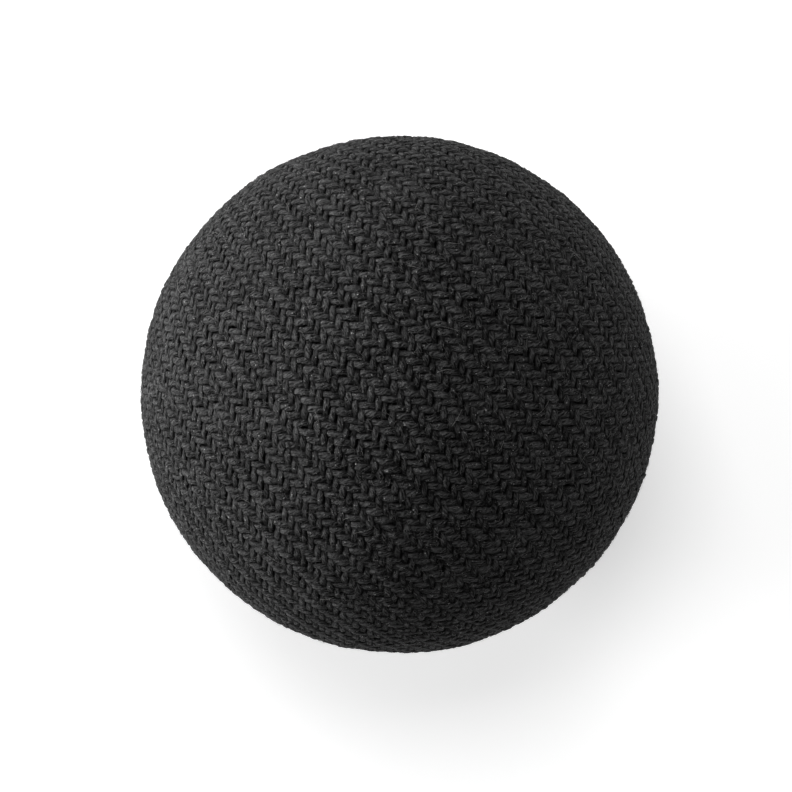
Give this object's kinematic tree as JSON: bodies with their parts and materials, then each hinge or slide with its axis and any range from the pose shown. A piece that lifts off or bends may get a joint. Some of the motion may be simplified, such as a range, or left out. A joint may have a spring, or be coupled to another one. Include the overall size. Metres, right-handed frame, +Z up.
{
  "type": "case opening friction ball",
  "caption": "Slightly flattened air-filled ball in a black twill cloth cover, pressed by hand on a watch's screwed case back to turn it open.",
  "frame": {"origin": "the middle of the small flat that the ball rests on, directly below its centre", "axes": "+Z up through the ball's centre and the middle of its top, along the ball's shortest extent; the valve's channel lies on the same line and opens downwards; +X and +Y lie in the resting plane"},
  "size_m": [0.065, 0.065, 0.0544],
  "materials": {
    "twill_cloth": "matt black 2/2 twill of coarse yarns",
    "cotton_tape": "matt unbleached plain weave",
    "sewing_thread": "twisted black thread",
    "bladder_rubber": "matt natural latex",
    "valve_rubber": "satin black moulded rubber",
    "plug_rubber": "soft dull red rubber",
    "eyelet_brass": "pressed brass, slightly dulled"
  },
  "bodies": {
    "root": {"cover_upper": "twill_cloth", "cover_lower": "twill_cloth", "seam_tape": "cotton_tape", "seam_thread": "sewing_thread", "bladder": "bladder_rubber", "valve_seat": "valve_rubber", "valve_plug": "plug_rubber", "valve_eyelet": "eyelet_brass", "eyelet_washer": "eyelet_brass"}
  },
  "joints": []
}
